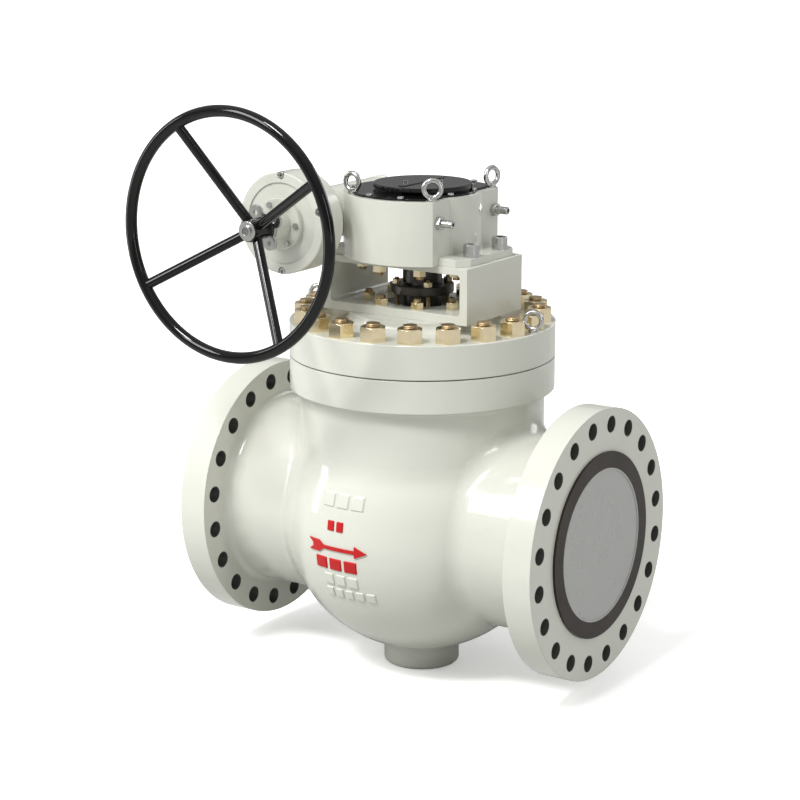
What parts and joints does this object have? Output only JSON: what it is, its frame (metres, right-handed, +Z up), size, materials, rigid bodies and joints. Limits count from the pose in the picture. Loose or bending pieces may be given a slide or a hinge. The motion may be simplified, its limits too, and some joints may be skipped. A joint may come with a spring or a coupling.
{
  "type": "plug valve",
  "caption": "Top-entry trunnion plug valve with raised-face flanged ends, bolted bonnet, yoke and handwheel-driven worm gearbox; quarter-turn from shut to open.",
  "frame": {"origin": "stem axis at the underside of the foot", "axes": "+Z up along the stem, +X along the pipe in the direction of flow, -Y towards the handwheel operator"},
  "size_m": [1.0625, 0.8854, 1.4885],
  "materials": {
    "cast_paint": "gloss",
    "machinery_paint": "gloss",
    "yellow_zinc": "satin",
    "bright_zinc": "satin",
    "dark_steel": "satin",
    "plated_steel": "polished",
    "bronze": "satin",
    "seat_polymer": "satin",
    "oring_rubber": "matte",
    "graphite": "matte",
    "black_enamel": "gloss",
    "handwheel_enamel": "gloss",
    "cap_plastic": "satin",
    "red_paint": "gloss"
  },
  "bodies": {
    "valve_body": {"bearing_end_cap": "machinery_paint", "bearing_screws": "bright_zinc", "body": "cast_paint", "bonnet": "cast_paint", "bonnet_eyebolts": "bright_zinc", "bonnet_gasket": "graphite", "bonnet_nuts": "yellow_zinc", "bonnet_studs": "yellow_zinc", "flow_arrow": "red_paint", "gearbox_cap_screws": "bright_zinc", "gearbox_cover": "black_enamel", "gearbox_cover_screws": "bright_zinc", "gearbox_eyebolts": "bright_zinc", "gearbox_housing": "machinery_paint", "gearbox_nuts": "yellow_zinc", "gearbox_studs": "yellow_zinc", "gland_bush": "dark_steel", "gland_flange": "dark_steel", "gland_nuts": "yellow_zinc", "gland_studs": "yellow_zinc", "input_bearing_housing": "machinery_paint", "packing_rings": "graphite", "reducer_cover": "machinery_paint", "reducer_cover_screws": "bright_zinc", "ring_gear": "dark_steel", "seat_inserts": "seat_polymer", "seat_orings": "oring_rubber", "seat_ring_inlet": "plated_steel", "seat_ring_outlet": "plated_steel", "seat_springs": "dark_steel", "stem_bush": "bronze", "stem_collar_bush": "bronze", "stem_thrust_washer": "plated_steel", "stop_locknuts": "bright_zinc", "stop_screws": "bright_zinc", "trunnion_pin": "dark_steel", "trunnion_washer": "plated_steel", "worm_bearings": "dark_steel", "yoke": "machinery_paint", "yoke_nuts": "yellow_zinc", "yoke_studs": "yellow_zinc"},
    "handwheel_body": {"handwheel": "handwheel_enamel", "handwheel_nut": "bright_zinc", "lobe_plate": "bright_zinc", "sun_shaft": "dark_steel"},
    "carrier_body": {"planet_carrier": "dark_steel", "worm_shaft": "dark_steel"},
    "planet_1_body": {"planet_gear_1": "dark_steel"},
    "planet_2_body": {"planet_gear_2": "dark_steel"},
    "planet_3_body": {"planet_gear_3": "dark_steel"},
    "plug_body": {"plug": "plated_steel", "trunnion_bush": "bronze", "stem": "plated_steel", "stem_key": "bright_zinc", "stem_sleeve": "dark_steel", "worm_wheel": "bronze", "position_indicator": "black_enamel", "indicator_screws": "bright_zinc"},
    "inlet_cover_body": {"shipping_cover_inlet": "cap_plastic"},
    "outlet_cover_body": {"shipping_cover_outlet": "cap_plastic"}
  },
  "joints": [
    {"name": "handwheel_turn", "type": "hinge", "parent": "valve_body", "child": "handwheel_body", "pos_m": [-0.221, -0.25, 1.177], "axis": [0, -1, 0], "range_deg": [0, 27000]},
    {"name": "worm_turn", "type": "hinge", "parent": "valve_body", "child": "carrier_body", "pos_m": [-0.221, -0.25, 1.177], "axis": [0, -1, 0], "range_deg": [0, 5400]},
    {"name": "plug_turn", "type": "hinge", "parent": "valve_body", "child": "plug_body", "pos_m": [0, 0, 0.4], "axis": [0, 0, 1], "range_deg": [0, 90]},
    {"name": "planet_1_turn", "type": "hinge", "parent": "carrier_body", "child": "planet_1_body", "pos_m": [-0.221, -0.25, 1.23887], "axis": [0, -1, 0], "range_deg": [-14400, 0]},
    {"name": "planet_2_turn", "type": "hinge", "parent": "carrier_body", "child": "planet_2_body", "pos_m": [-0.27459, -0.25, 1.14606], "axis": [0, -1, 0], "range_deg": [-14400, 0]},
    {"name": "planet_3_turn", "type": "hinge", "parent": "carrier_body", "child": "planet_3_body", "pos_m": [-0.16742, -0.25, 1.14606], "axis": [0, -1, 0], "range_deg": [-14400, 0]},
    {"name": "inlet_cover_off", "type": "slide", "parent": "valve_body", "child": "inlet_cover_body", "axis": [-1, 0, 0], "range_m": [0, 0.08]},
    {"name": "outlet_cover_off", "type": "slide", "parent": "valve_body", "child": "outlet_cover_body", "axis": [1, 0, 0], "range_m": [0, 0.08]}
  ],
  "couplings": [
    {"joint": "worm_turn", "follows": "handwheel_turn", "ratio": 0.2},
    {"joint": "plug_turn", "follows": "handwheel_turn", "ratio": 0.0033333},
    {"joint": "planet_1_turn", "follows": "handwheel_turn", "ratio": -0.53333},
    {"joint": "planet_2_turn", "follows": "handwheel_turn", "ratio": -0.53333},
    {"joint": "planet_3_turn", "follows": "handwheel_turn", "ratio": -0.53333}
  ]
}
